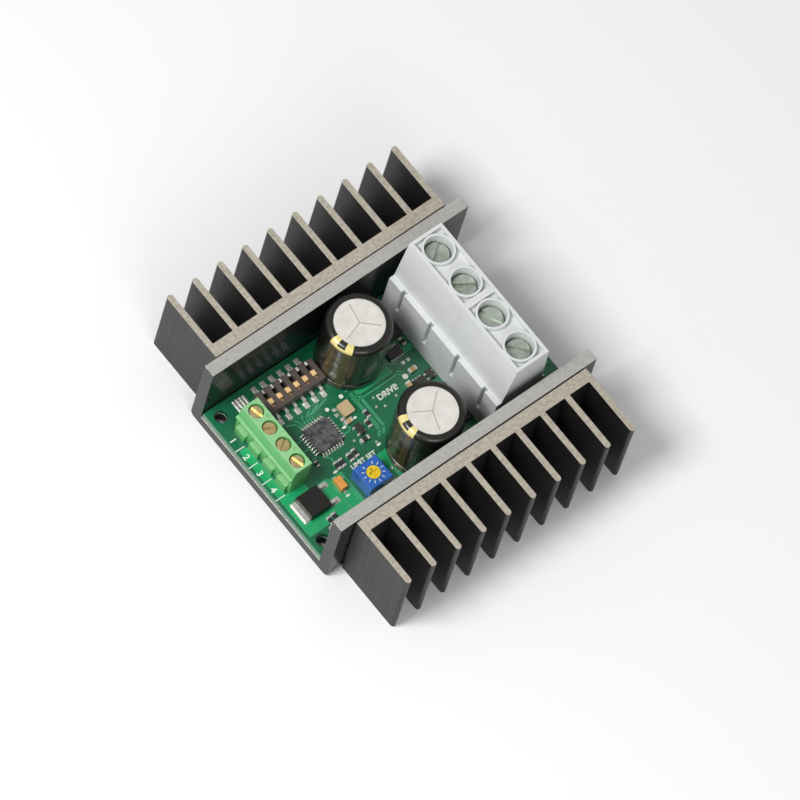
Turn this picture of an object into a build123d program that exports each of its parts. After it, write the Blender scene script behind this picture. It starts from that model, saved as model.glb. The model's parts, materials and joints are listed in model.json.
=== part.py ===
"""Single-channel DC motor driver: a circuit board in an aluminium channel with two finned heatsinks.

Frame: millimetres, +Z up. X runs along the channel from the control terminal (-X) to the power
terminal (+X), Y runs across it, and the origin is on the underside, at the middle of the channel.
"""
from build123d import *
import math
import os

# Channel, heatsinks and board
CHANNEL_LENGTH = 76.2
CHANNEL_WIDTH = 50.8
CHANNEL_HEIGHT = 25.4
WALL = 3.175
CHANNEL_CORNER = 1.5
HOLE_DIAMETER = 3.3
HOLE_SPACING_X = 69.85
HOLE_SPACING_Y = 38.1
TAPE_THICKNESS = 0.35
TAPE_HEIGHT = 22.0
FIN_COUNT = 10
FIN_PITCH = 7.43
FIN_THICKNESS = 1.55
FIN_TIP_Y = 44.45
HEATSINK_BASE = 3.1
HEATSINK_FOOT_Z = 0.7
HEATSINK_TOP_Z = 25.2
HEATSINK_SHIFT = {"a": -0.3, "b": 0.4}
PAD_THICKNESS = 0.325
PAD_INSET = 0.5
BOARD_THICKNESS = 1.6
BOARD_LENGTH = 75.6
BOARD_WIDTH = 44.0

# Levels and references worked out from the sizes above
FRONT = -CHANNEL_LENGTH / 2
FLOOR_TOP = WALL
BOARD_UNDERSIDE = FLOOR_TOP + PAD_THICKNESS
BOARD_TOP = BOARD_UNDERSIDE + BOARD_THICKNESS
LEAD_END = BOARD_UNDERSIDE + 0.1
WALL_INNER_Y = CHANNEL_WIDTH / 2 - WALL

# Control terminal: two blocks of two poles, screws and rising cages
CONTROL_PITCH = 5.08
CONTROL_POLES = 4
CONTROL_CENTRE_Y = 4.975
CONTROL_SCREW_X = 6.85
CONTROL_LEG_X = 8.6
CONTROL_HEIGHT = 10.0
CONTROL_SEAT = 8.0
CONTROL_CEILING = 7.4
CONTROL_SCREW_HEAD = 3.45
CONTROL_SCREW_SHANK = 2.2
CONTROL_SLOT_ANGLES = (-75, -28, 34, -74)
CONTROL_CAGE_SIZE = (2.4, 3.4, 4.0)
CONTROL_CAGE_OPENING = (2.4, 2.5)
CONTROL_CAGE_REST = 1.6
CONTROL_CONTACT = (3.8, 4.3)

# Power terminal: two blocks of two poles
POWER_PITCH = 10.0
POWER_POLES = 4
POWER_CENTRE_Y = 0.0
POWER_SCREW_X = 59.6
POWER_LEG_X = 54.1
POWER_HEIGHT = 29.5
POWER_LEDGE = 15.0
POWER_SEAT = 24.85
POWER_CEILING = 20.5
POWER_TOP_X = (54.9, 64.4)
POWER_RIM = 0.85
POWER_COLLAR = 8.1
POWER_WELL = 6.9
POWER_SCREW_HEAD = 6.0
POWER_SCREW_SHANK = 4.0
POWER_SLOT_ANGLES = (36, -33, -67, -48)
POWER_CAGE_SIZE = (6.4, 7.0, 9.0)
POWER_CAGE_OPENING = (5.4, 5.6)
POWER_CAGE_REST = 7.0
POWER_CONTACT = (12.0, 13.0)
POWER_MOUTH = (6.8, 7.5, 14.0)

# Slide switch block
SWITCH_COUNT = 6
SWITCH_PITCH = 2.54
SWITCH_CENTRE = (20.1, 14.875)
SWITCH_BODY = (16.6, 6.0)
SWITCH_STANDOFF = 0.3
SWITCH_TOP = 3.6
SWITCH_SLOT = (1.3, 3.8)
SWITCH_POCKET = (2.0, 4.9)
SWITCH_POCKET_Z = (0.9, 2.4)
SLIDER_KNOB = (1.2, 1.3)
SLIDER_FLANGE = (1.9, 2.4)
SLIDER_TOP = 4.0
SLIDER_REST = -0.5

# Electrolytic capacitors
CAPACITOR_X = 36.6
CAPACITOR_Y = 13.6
CAN_RADIUS = 7.9
CAN_HEIGHT = 19.9
SLEEVE_THICKNESS = 0.2
SLEEVE_OPENING = 6.15
CAN_SHOULDER = 1.2
CAN_FOOT = 0.4
CRIMP_HEIGHT = 2.6
BUNG_RADIUS = 6.7
LEAD_SPACING = 7.5

# Microcontroller package
CHIP_CENTRE = (19.45, 1.435)
CHIP_BODY = 6.9
CHIP_SPAN = 9.0
CHIP_LEADS = 8
CHIP_PITCH = 0.8

# Trimming potentiometer
TRIMPOT_CENTRE = (21.6, -13.8)
TRIMPOT_SIZE = (6.7, 6.7, 5.0)
TRIMPOT_PIN_OFFSETS = ((-1.27, 2.54), (1.27, 0), (-1.27, -2.54))
ROTOR_DIAMETER = 3.4
ROTOR_DEPTH = 1.4

FIT = 0.05


def block(x_range, y_range, z_range):
    """A box between two limits on each axis; x is measured from the control end of the channel."""
    size = [high - low for low, high in (x_range, y_range, z_range)]
    middle = [(high + low) / 2 for low, high in (x_range, y_range, z_range)]
    return Pos(middle[0] + FRONT, middle[1], middle[2]) * Box(*size)


def slab(centre, size, z_range):
    """A box round an x, y centre, between two heights."""
    (x, y), (length, width) = centre, size
    return block((x - length / 2, x + length / 2), (y - width / 2, y + width / 2), z_range)


def rod(centre, radius, z_range):
    """An upright cylinder at an x, y centre, between two heights."""
    low, high = z_range
    return Pos(centre[0] + FRONT, centre[1], (low + high) / 2) * Cylinder(radius, high - low)


def side_extrusion(outline, y_range):
    """A solid of constant section: the outline is x, z points, swept from one y to the other."""
    low, high = y_range
    wire = Polyline(*[(x + FRONT, low, z) for x, z in outline], close=True)
    return extrude(make_face(wire), amount=high - low, dir=(0, 1, 0))


def above(*heights):
    """Heights above the board turned into heights in the part's frame."""
    return tuple(BOARD_TOP + height for height in heights)


def mounting_holes():
    """Centres of the four mounting holes."""
    offset = (CHANNEL_LENGTH - HOLE_SPACING_X) / 2
    return [(x, y) for x in (offset, CHANNEL_LENGTH - offset)
            for y in (-HOLE_SPACING_Y / 2, HOLE_SPACING_Y / 2)]


def pole_positions(count, pitch, centre_y):
    """Y of each pole of a terminal, from the +Y end."""
    return [centre_y + pitch * ((count - 1) / 2 - index) for index in range(count)]


CONTROL_Y = pole_positions(CONTROL_POLES, CONTROL_PITCH, CONTROL_CENTRE_Y)
POWER_Y = pole_positions(POWER_POLES, POWER_PITCH, POWER_CENTRE_Y)
TRIMPOT_PINS = [(TRIMPOT_CENTRE[0] + dx, TRIMPOT_CENTRE[1] + dy) for dx, dy in TRIMPOT_PIN_OFFSETS]
CAPACITOR_CENTRES = {"a": (CAPACITOR_X, CAPACITOR_Y), "b": (CAPACITOR_X, -CAPACITOR_Y)}
CAPACITOR_PINS = [(x, y + side * LEAD_SPACING / 2)
                  for x, y in CAPACITOR_CENTRES.values() for side in (-1, 1)]


def channel():
    """The U-shaped extrusion with its four mounting holes."""
    outer = Rectangle(CHANNEL_WIDTH, CHANNEL_HEIGHT, align=(Align.CENTER, Align.MIN))
    outer = fillet(outer.vertices().group_by(Axis.Y)[0], CHANNEL_CORNER)
    inner = Pos(0, WALL) * Rectangle(CHANNEL_WIDTH - 2 * WALL, CHANNEL_HEIGHT, align=(Align.CENTER, Align.MIN))
    solid = extrude(Plane.YZ * (outer - inner), amount=CHANNEL_LENGTH / 2, both=True)
    for centre in mounting_holes():
        solid -= rod(centre, HOLE_DIAMETER / 2, (-1, FLOOR_TOP + 1))
    return solid


def heatsink(side):
    """A comb extrusion: a base against the channel wall and ten fins with round tips."""
    sign = 1 if side == "a" else -1
    length = (FIN_COUNT - 1) * FIN_PITCH + FIN_THICKNESS
    back = CHANNEL_WIDTH / 2 + TAPE_THICKNESS
    section = Pos(0, back + HEATSINK_BASE / 2) * Rectangle(length, HEATSINK_BASE)
    straight = FIN_TIP_Y - FIN_THICKNESS / 2 - back
    for index in range(FIN_COUNT):
        x = (index - (FIN_COUNT - 1) / 2) * FIN_PITCH
        section += Pos(x, back + straight / 2) * Rectangle(FIN_THICKNESS, straight)
        section += Pos(x, back + straight) * Circle(FIN_THICKNESS / 2)
    solid = extrude(section, amount=HEATSINK_TOP_Z - HEATSINK_FOOT_Z)
    if sign < 0:
        solid = mirror(solid, about=Plane.XZ)
    return Pos(HEATSINK_SHIFT[side], 0, HEATSINK_FOOT_Z) * solid


def heatsink_tape(side):
    """The thermal tape that bonds a heatsink to the outside of the channel."""
    sign = 1 if side == "a" else -1
    length = (FIN_COUNT - 1) * FIN_PITCH
    y = sign * (CHANNEL_WIDTH + TAPE_THICKNESS) / 2
    z = (HEATSINK_FOOT_Z + HEATSINK_TOP_Z) / 2
    return Pos(HEATSINK_SHIFT[side], y, z) * Box(length, TAPE_THICKNESS, TAPE_HEIGHT)


def thermal_pad():
    """The insulating pad between the board and the channel floor."""
    size = (BOARD_LENGTH - PAD_INSET, BOARD_WIDTH - PAD_INSET)
    solid = slab((CHANNEL_LENGTH / 2, 0), size, (FLOOR_TOP, BOARD_UNDERSIDE))
    for centre in mounting_holes():
        solid -= rod(centre, HOLE_DIAMETER / 2 + PAD_INSET, (0, BOARD_TOP))
    return solid


def circuit_board():
    """The board with its mounting holes and the drilled holes for through-hole leads."""
    solid = slab((CHANNEL_LENGTH / 2, 0), (BOARD_LENGTH, BOARD_WIDTH), (BOARD_UNDERSIDE, BOARD_TOP))
    cut = (BOARD_UNDERSIDE - 1, BOARD_TOP + 1)
    for centre in mounting_holes():
        solid -= rod(centre, HOLE_DIAMETER / 2, cut)
    for y in CONTROL_Y:
        solid -= rod((CONTROL_LEG_X, y), 0.75, cut)
    for y in POWER_Y:
        solid -= slab((POWER_LEG_X, y), (1.4, 3.4), cut)
    for centre in CAPACITOR_PINS:
        solid -= rod(centre, 0.55, cut)
    for centre in TRIMPOT_PINS:
        solid -= rod(centre, 0.4, cut)
    return solid


def tinned_pads():
    """Four tinned strips beside the control terminal, domed like solder on a bare copper pad."""
    strips = []
    for index in range(4):
        x = 7.7 + index * 0.95
        strip = slab((x, 18.55), (0.8, 3.7), above(0, 0.35))
        strips.append(fillet(strip.edges().filter_by(Axis.Y).group_by(Axis.Z)[-1], 0.3))
    return Compound(strips)


def gull_lead(width, inner, outer, standoff, thickness):
    """A gull-wing lead along +X: shoulder at the body, a knee, and a foot on the board."""
    knee = inner + (outer - inner) * 0.45
    under = [(inner, standoff), (knee, standoff), (knee, 0), (outer, 0)]
    over = [(outer, thickness), (knee + thickness, thickness),
            (knee + thickness, standoff + thickness), (inner, standoff + thickness)]
    wire = Polyline(*[(x, 0, z) for x, z in under + over], close=True)
    return extrude(make_face(wire), amount=width / 2, dir=(0, 1, 0), both=True)


def microcontroller_body():
    """A flat square package with drafted sides and a round mark at one corner."""
    lower = slab(CHIP_CENTRE, (CHIP_BODY, CHIP_BODY), above(0.1, 0.65))
    top = Pos(CHIP_CENTRE[0] + FRONT, CHIP_CENTRE[1], BOARD_TOP + 0.65) * Rectangle(CHIP_BODY, CHIP_BODY)
    upper = extrude(top, amount=0.45, taper=8)
    mark = rod((CHIP_CENTRE[0] + 2.6, CHIP_CENTRE[1] - 2.4), 0.4, above(1.05, 1.2))
    return lower + upper - mark


def microcontroller_leads():
    """Eight gull-wing leads on each of the four sides."""
    lead = gull_lead(0.37, CHIP_BODY / 2, CHIP_SPAN / 2, 0.45, 0.14)
    leads = []
    for turn in range(4):
        for index in range(CHIP_LEADS):
            along = (index - (CHIP_LEADS - 1) / 2) * CHIP_PITCH
            place = Pos(CHIP_CENTRE[0] + FRONT, CHIP_CENTRE[1], BOARD_TOP) * Rot(0, 0, 90 * turn)
            leads.append(place * Pos(0, along, 0) * lead)
    return Compound(leads)


def slider_x(index):
    """X of one slider of the switch block."""
    return SWITCH_CENTRE[0] + (index - (SWITCH_COUNT - 1) / 2) * SWITCH_PITCH


def switch_housing():
    """The switch block: a slot for each slider over a wider guide pocket."""
    solid = slab(SWITCH_CENTRE, SWITCH_BODY, above(SWITCH_STANDOFF, SWITCH_TOP))
    solid = chamfer(solid.edges().group_by(Axis.Z)[-1], 0.15)
    for index in range(SWITCH_COUNT):
        centre = (slider_x(index), SWITCH_CENTRE[1])
        solid -= slab(centre, SWITCH_SLOT, above(SWITCH_POCKET_Z[1], SWITCH_TOP + 1))
        solid -= slab(centre, SWITCH_POCKET, above(*SWITCH_POCKET_Z))
    return solid


def switch_leads():
    """Gull-wing leads along both long sides of the switch block."""
    lead = gull_lead(0.8, SWITCH_BODY[1] / 2, 5.3, 1.0, 0.2)
    leads = []
    for index in range(SWITCH_COUNT):
        for turn in (90, -90):
            place = Pos(slider_x(index) + FRONT, SWITCH_CENTRE[1], BOARD_TOP) * Rot(0, 0, turn)
            leads.append(place * lead)
    return Compound(leads)


def switch_slider(index):
    """A slider: a square knob in the slot and a flange that runs in the guide pocket."""
    centre = (slider_x(index), SWITCH_CENTRE[1] + SLIDER_REST)
    low, high = SWITCH_POCKET_Z
    knob = slab(centre, SLIDER_KNOB, above(high - FIT, SLIDER_TOP))
    knob = chamfer(knob.edges().group_by(Axis.Z)[-1], 0.15)
    return knob + slab(centre, SLIDER_FLANGE, above(low + FIT, high - FIT))


def control_housing(poles):
    """A two-pole block of the control terminal: a chamber, a well and a wire entry for each pole."""
    y_range = (min(poles) - CONTROL_PITCH / 2, max(poles) + CONTROL_PITCH / 2)
    outline = [(4.1, 0), (4.1, 6.2), (3.3, 6.2), (3.3, 6.9), (4.0, 6.9), (4.6, CONTROL_HEIGHT),
               (9.3, CONTROL_HEIGHT), (9.3, 0)]
    solid = side_extrusion([(x, BOARD_TOP + z) for x, z in outline], y_range)
    for y in poles:
        solid += block((3.3, 4.2), (y - 1.7, y + 1.7), above(0, 2.6))
        solid -= block((4.9, 8.9), (y - 2.0, y + 2.0), above(0.8, CONTROL_CEILING))
        solid -= block((8.3, 8.9), (y - 0.7, y + 0.7), above(-1, 1))
        solid -= block((3.0, 5.0), (y - 1.7, y + 1.7), above(2.8, 5.0))
        shank = CONTROL_SCREW_SHANK / 2 + FIT
        solid -= rod((CONTROL_SCREW_X, y), shank, above(CONTROL_CEILING - 0.1, CONTROL_SEAT + 0.1))
        well = CONTROL_SCREW_HEAD / 2 + 0.15
        solid -= rod((CONTROL_SCREW_X, y), well, above(CONTROL_SEAT, CONTROL_HEIGHT + 1))
    solid -= rod((8.4, sum(y_range) / 2), 0.45, above(CONTROL_HEIGHT - 0.25, CONTROL_HEIGHT + 1))
    return solid


def slotted_screw(centre, z_seat, head, head_height, shank, z_end, slot, angle):
    """A cheese-head screw: head on its seat, slot at its own angle, shank down to z_end."""
    solid = rod(centre, head / 2, (z_seat, z_seat + head_height))
    solid = chamfer(solid.edges().group_by(Axis.Z)[-1], head * 0.05)
    solid += rod(centre, shank / 2, (z_end, z_seat))
    place = Pos(centre[0] + FRONT, centre[1], z_seat + head_height) * Rot(0, 0, angle)
    return solid - place * Box(head * 1.2, slot, head_height * 0.9)


def rising_cage(centre, size, z_rest, opening, top_wall, shank):
    """A clamp cage: a rectangular loop open along X, threaded on the screw through its top wall."""
    length, width, height = size
    solid = slab(centre, (length, width), (z_rest, z_rest + height))
    low = z_rest + height - top_wall - opening[1]
    solid -= slab(centre, (length + 1, opening[0]), (low, low + opening[1]))
    return solid - rod(centre, shank / 2 + FIT, (z_rest + height - top_wall - 1, z_rest + height + 1))


def control_screw(y, angle):
    """A captive screw of the control terminal."""
    seat, end = above(CONTROL_SEAT + FIT, CONTROL_CONTACT[1] + 0.4)
    centre = (CONTROL_SCREW_X, y)
    return slotted_screw(centre, seat, CONTROL_SCREW_HEAD, 1.4, CONTROL_SCREW_SHANK, end, 0.7, angle)


def control_cage(y):
    """The rising cage of one control pole."""
    rest = BOARD_TOP + CONTROL_CAGE_REST
    centre = (CONTROL_SCREW_X, y)
    return rising_cage(centre, CONTROL_CAGE_SIZE, rest, CONTROL_CAGE_OPENING, 1.0, CONTROL_SCREW_SHANK)


def contact(y, x_tip, leg_x, levels, width, leg_width):
    """A fixed contact: a plate through the cage and a leg down through the board."""
    low, high = levels
    reach = (high - low) / 2
    ends = sorted((x_tip, leg_x + math.copysign(reach, leg_x - x_tip)))
    plate = block(ends, (y - width / 2, y + width / 2), (low, high))
    leg = block((leg_x - reach, leg_x + reach), (y - leg_width / 2, y + leg_width / 2), (LEAD_END, high))
    return plate + leg


def control_contacts():
    """The fixed contacts of the control terminal."""
    levels = above(*CONTROL_CONTACT)
    return Compound([contact(y, 5.2, CONTROL_LEG_X, levels, 2.0, 1.0) for y in CONTROL_Y])


def power_housing(poles):
    """A two-pole block of the power terminal: collared wells, chambers and wire mouths."""
    y_range = (min(poles) - POWER_PITCH / 2, max(poles) + POWER_PITCH / 2)
    low_x, high_x = POWER_TOP_X
    outline = [(51.55, 0), (51.55, POWER_LEDGE), (53.0, POWER_LEDGE), (low_x, POWER_HEIGHT),
               (high_x, POWER_HEIGHT), (65.2, POWER_LEDGE), (66.0, POWER_LEDGE - 0.6), (66.0, 0)]
    solid = side_extrusion([(x, BOARD_TOP + z) for x, z in outline], y_range)
    over = above(POWER_HEIGHT - 1.2, POWER_HEIGHT + 1)
    pocket = block((low_x + POWER_RIM, high_x - POWER_RIM),
                   (y_range[0] + POWER_RIM, y_range[1] - POWER_RIM), over)
    for y in poles:
        pocket -= rod((POWER_SCREW_X, y), POWER_COLLAR / 2, over)
    solid -= pocket
    mouth_width, mouth_low, mouth_high = POWER_MOUTH
    for y in poles:
        solid -= block((55.6, 64.0), (y - 3.9, y + 3.9), above(1.2, POWER_CEILING))
        solid -= block((53.4, 55.7), (y - 2.4, y + 2.4), above(1.2, POWER_CONTACT[1] + 0.2))
        solid -= block((53.4, 54.8), (y - 1.7, y + 1.7), above(-1, 2))
        solid -= block((63.9, 67), (y - mouth_width / 2, y + mouth_width / 2), above(mouth_low, mouth_high))
        shank = POWER_SCREW_SHANK / 2 + FIT
        solid -= rod((POWER_SCREW_X, y), shank, above(POWER_CEILING - 0.1, POWER_SEAT + 0.1))
        solid -= rod((POWER_SCREW_X, y), POWER_WELL / 2, above(POWER_SEAT, POWER_HEIGHT + 1))
        solid -= block((51, 52.6), (y - 0.55, y + 0.55), above(5.5, POWER_LEDGE + 1))
    return solid


def power_screw(y, angle):
    """A captive screw of the power terminal."""
    seat, end = above(POWER_SEAT + FIT, POWER_CONTACT[1] + 0.4)
    centre = (POWER_SCREW_X, y)
    return slotted_screw(centre, seat, POWER_SCREW_HEAD, 2.3, POWER_SCREW_SHANK, end, 1.1, angle)


def power_cage(y):
    """The rising cage of one power pole."""
    rest = BOARD_TOP + POWER_CAGE_REST
    centre = (POWER_SCREW_X, y)
    return rising_cage(centre, POWER_CAGE_SIZE, rest, POWER_CAGE_OPENING, 2.4, POWER_SCREW_SHANK)


def power_contacts():
    """The fixed contacts of the power terminal."""
    levels = above(*POWER_CONTACT)
    return Compound([contact(y, 62.4, POWER_LEG_X, levels, 4.4, 3.0) for y in POWER_Y])


def turned_can(growth):
    """The can grown outwards by an amount: straight side, crimp near the foot, round shoulder."""
    radius = CAN_RADIUS + growth
    top = CAN_HEIGHT + growth
    foot = CAN_FOOT - growth
    solid = Pos(0, 0, (top + foot) / 2) * Cylinder(radius, top - foot)
    solid = fillet(solid.edges().group_by(Axis.Z)[-1], CAN_SHOULDER + growth)
    return solid - Pos(0, 0, CRIMP_HEIGHT) * Torus(radius + 0.15, 0.65)


def placed_capacitor(solid, centre):
    """Move a capacitor piece from the origin to its place on the board."""
    return Pos(centre[0] + FRONT, centre[1], BOARD_TOP) * solid


def capacitor_can(centre):
    """The aluminium can, hollow at the foot for its rubber bung."""
    recess = Pos(0, 0, 1.0) * Cylinder(BUNG_RADIUS, 1.8)
    return placed_capacitor(turned_can(0) - recess, centre)


def capacitor_sleeve(centre):
    """The shrink sleeve: it wraps the can and curls over the shoulder, leaving the top bare."""
    opening = Pos(0, 0, CAN_HEIGHT) * Cylinder(SLEEVE_OPENING, 4)
    underside = Pos(0, 0, 0) * Cylinder(BUNG_RADIUS, 4)
    return placed_capacitor(turned_can(SLEEVE_THICKNESS) - turned_can(0) - opening - underside, centre)


def capacitor_bungs():
    """The rubber bungs that close the cans."""
    bung = Pos(0, 0, 1.15) * Cylinder(BUNG_RADIUS, 1.4)
    solids = []
    for centre in CAPACITOR_CENTRES.values():
        solid = placed_capacitor(bung, centre)
        for side in (-1, 1):
            solid -= rod((centre[0], centre[1] + side * LEAD_SPACING / 2), 0.4, above(0, 3))
        solids.append(solid)
    return Compound(solids)


def capacitor_leads():
    """The lead wires of the two capacitors."""
    return Compound([rod(centre, 0.4, (LEAD_END, BOARD_TOP + 1.8)) for centre in CAPACITOR_PINS])


def regulator_body():
    """The moulded body of the surface-mount voltage regulator."""
    lower = block((3.75, 9.8), (-13.8, -7.7), above(0.5, 1.3))
    top = Pos(6.775 + FRONT, -10.75, BOARD_TOP + 1.3) * Rectangle(6.05, 6.1)
    return lower + extrude(top, amount=1.0, taper=6)


def regulator_leads():
    """The heat tab under the regulator and its two formed leads."""
    tab = block((2.5, 9.2), (-13.5, -8.0), above(0, 0.5))
    lead = gull_lead(0.9, 0, 2.6, 0.75, 0.5)
    leads = [Pos(9.8 + FRONT, -10.75 + side * 2.3, BOARD_TOP) * lead for side in (-1, 1)]
    return Compound([tab] + leads)


def tantalum_capacitor():
    """The moulded tantalum capacitor."""
    solid = slab((15.1, -10.525), (1.9, 3.3), above(0, 1.8))
    return chamfer(solid.edges().group_by(Axis.Z)[-1], 0.15)


def resonator():
    """The square ceramic resonator."""
    solid = slab((28.15, 3.775), (3.1, 3.4), above(0, 1.1))
    return fillet(solid.edges().filter_by(Axis.Z), 0.2)


def trimpot_housing():
    """The square trimming potentiometer with a round seat for its rotor."""
    length, width, height = TRIMPOT_SIZE
    solid = slab(TRIMPOT_CENTRE, (length, width), above(0.4, height))
    solid = chamfer(solid.edges().group_by(Axis.Z)[-1], 0.2)
    for dx in (-1, 1):
        for dy in (-1, 1):
            corner = (TRIMPOT_CENTRE[0] + dx * (length / 2 - 0.5), TRIMPOT_CENTRE[1] + dy * (width / 2 - 0.5))
            solid += slab(corner, (1.0, 1.0), above(0, 0.4))
    solid -= rod(TRIMPOT_CENTRE, ROTOR_DIAMETER / 2 + FIT, above(height - ROTOR_DEPTH, height + 1))
    for centre in TRIMPOT_PINS:
        solid -= rod(centre, 0.27, above(0, 1.2))
    return solid


def trimpot_rotor():
    """The rotor with its cross recess."""
    top = TRIMPOT_SIZE[2] + 0.1
    solid = rod(TRIMPOT_CENTRE, ROTOR_DIAMETER / 2, above(TRIMPOT_SIZE[2] - ROTOR_DEPTH, top))
    for size in ((2.2, 0.6), (0.6, 2.2)):
        solid -= slab(TRIMPOT_CENTRE, size, above(top - 0.7, top + 1))
    return solid


def trimpot_pins():
    """The three pins of the trimming potentiometer."""
    return Compound([rod(centre, 0.27, (LEAD_END, BOARD_TOP + 1.2)) for centre in TRIMPOT_PINS])


def chips(places, height):
    """A group of chip parts: each place is an x, y centre and a length and width."""
    return Compound([slab((x, y), (length, width), above(0, height)) for x, y, length, width in places])


# Chip parts: x, y, length along X, width along Y
RESISTOR_PLACES = [(17.6, -6.4, 1.0, 2.2), (19.0, -6.4, 1.0, 2.2), (21.4, -6.4, 1.0, 2.2),
                   (23.0, -6.2, 1.0, 2.2), (7.6, -16.4, 1.0, 2.2), (9.1, -16.2, 1.0, 2.2),
                   (27.1, -4.8, 2.4, 1.1), (30.3, -2.1, 1.0, 2.1), (31.5, 0.0, 0.9, 2.1),
                   (13.9, -3.3, 0.9, 1.5), (49.9, 9.7, 1.0, 2.0)]
CAPACITOR_PLACES = [(26.8, 0.9, 2.1, 1.1), (47.3, 2.7, 2.2, 1.2), (44.3, -0.3, 1.1, 2.4)]
LED_PLACES = [(15.8, -18.4, 2.6, 1.2), (24.8, -18.4, 2.6, 1.2)]
# Small packages: x, y, body length along X, body width along Y, leads per side, lead pitch
SMALL_PACKAGES = [(27.6, -2.1, 1.4, 2.9, 2, 1.9), (46.75, -0.7, 2.9, 1.7, 3, 0.95),
                  (49.9, -0.6, 1.5, 2.4, 2, 1.3), (46.4, 8.6, 3.8, 2.4, 6, 0.65)]
SMALL_HEIGHT = 1.1
TRANSISTOR_PLACES = [(48.7, y) for y in (19.1, 13.8, -6.6, -12.4)]
TRANSISTOR_SIZE = (5.0, 5.0, 1.1)


def small_package_bodies():
    """The moulded bodies of the small transistor and amplifier packages."""
    bodies = []
    for x, y, length, width, _, _ in SMALL_PACKAGES:
        bodies.append(slab((x, y), (length, width), above(0.1, SMALL_HEIGHT)))
    return Compound(bodies)


def small_package_leads():
    """Feet of the small packages, on the two long sides of each body."""
    feet = []
    for x, y, length, width, count, pitch in SMALL_PACKAGES:
        for index in range(count):
            along = (index - (count - 1) / 2) * pitch
            for side in (-1, 1):
                if length > width:
                    centre = (x + along, y + side * (width / 2 + 0.25))
                    size = (pitch * 0.5, 0.5)
                else:
                    centre = (x + side * (length / 2 + 0.25), y + along)
                    size = (0.5, 0.5)
                feet.append(slab(centre, size, above(0, 0.3)))
    return Compound(feet)


def power_transistors():
    """Four flat power transistors on the board between the capacitors and the power terminal."""
    length, width, height = TRANSISTOR_SIZE
    return Compound([slab(centre, (length, width), above(0, height)) for centre in TRANSISTOR_PLACES])


def nodes():
    """Every node of the part, by name."""
    made = {"chassis_channel": channel(), "board_thermal_pad": thermal_pad(), "circuit_board": circuit_board(),
            "tinned_pads": tinned_pads(), "microcontroller_body": microcontroller_body(),
            "microcontroller_leads": microcontroller_leads(), "dip_switch_housing": switch_housing(),
            "dip_switch_leads": switch_leads(), "control_contacts": control_contacts(),
            "power_contacts": power_contacts(), "capacitor_bungs": capacitor_bungs(),
            "capacitor_leads": capacitor_leads(), "regulator_body": regulator_body(),
            "regulator_leads": regulator_leads(), "tantalum_capacitor": tantalum_capacitor(),
            "resonator": resonator(), "trimpot_housing": trimpot_housing(), "trimpot_rotor": trimpot_rotor(),
            "trimpot_pins": trimpot_pins(), "indicator_leds": chips(LED_PLACES, 0.8),
            "chip_resistors": chips(RESISTOR_PLACES, 0.6), "chip_capacitors": chips(CAPACITOR_PLACES, 0.9),
            "small_package_bodies": small_package_bodies(), "small_package_leads": small_package_leads(),
            "power_transistors": power_transistors()}
    for side, centre in CAPACITOR_CENTRES.items():
        made[f"heatsink_{side}"] = heatsink(side)
        made[f"heatsink_tape_{side}"] = heatsink_tape(side)
        made[f"capacitor_{side}_can"] = capacitor_can(centre)
        made[f"capacitor_{side}_sleeve"] = capacitor_sleeve(centre)
    for index in range(SWITCH_COUNT):
        made[f"dip_slider_{index + 1}"] = switch_slider(index)
    for half, side in ((slice(0, 2), "a"), (slice(2, 4), "b")):
        made[f"control_housing_{side}"] = control_housing(CONTROL_Y[half])
        made[f"power_housing_{side}"] = power_housing(POWER_Y[half])
    for index, (y, angle) in enumerate(zip(CONTROL_Y, CONTROL_SLOT_ANGLES)):
        made[f"control_screw_{index + 1}"] = control_screw(y, angle)
        made[f"control_cage_{index + 1}"] = control_cage(y)
    for index, (y, angle) in enumerate(zip(POWER_Y, POWER_SLOT_ANGLES)):
        made[f"power_screw_{index + 1}"] = power_screw(y, angle)
        made[f"power_cage_{index + 1}"] = power_cage(y)
    return made


os.makedirs("parts", exist_ok=True)
for name, shape in nodes().items():
    export_step(shape, f"parts/{name}.step")
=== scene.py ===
"""Looks of the motor driver module: finishes on the CAD frame, print, copper, camera, light."""

import json
import logging
import math
from dataclasses import dataclass, field
from enum import Enum

import bpy
from mathutils import Matrix, Vector

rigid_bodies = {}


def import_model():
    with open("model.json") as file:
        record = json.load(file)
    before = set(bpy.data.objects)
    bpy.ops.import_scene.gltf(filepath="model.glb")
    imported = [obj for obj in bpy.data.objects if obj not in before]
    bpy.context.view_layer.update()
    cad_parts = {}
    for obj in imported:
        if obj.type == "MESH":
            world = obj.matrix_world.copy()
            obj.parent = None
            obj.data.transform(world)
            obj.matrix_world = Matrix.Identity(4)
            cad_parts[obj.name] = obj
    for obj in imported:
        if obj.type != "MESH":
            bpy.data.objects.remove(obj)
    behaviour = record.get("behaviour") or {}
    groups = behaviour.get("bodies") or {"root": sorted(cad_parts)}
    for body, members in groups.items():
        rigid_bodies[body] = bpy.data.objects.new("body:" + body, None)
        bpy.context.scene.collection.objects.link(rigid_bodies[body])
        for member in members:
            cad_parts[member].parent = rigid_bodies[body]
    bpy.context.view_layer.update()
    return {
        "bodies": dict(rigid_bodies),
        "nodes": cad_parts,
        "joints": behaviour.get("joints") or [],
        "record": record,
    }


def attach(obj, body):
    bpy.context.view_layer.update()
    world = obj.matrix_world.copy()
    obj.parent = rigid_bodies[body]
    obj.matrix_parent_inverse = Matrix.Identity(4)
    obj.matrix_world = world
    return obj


LOG = logging.getLogger("scene")
MM = 0.001
FRONT_X = -38.1
BOARD_TOP = 5.1
BOARD_BODY = "board_assembly"

# Setting switch: ways, pitch and middle, in mm on the board
SWITCH_WAYS = 6
SWITCH_PITCH = 2.54
SWITCH_CENTRE = (20.1, 14.875)

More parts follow.
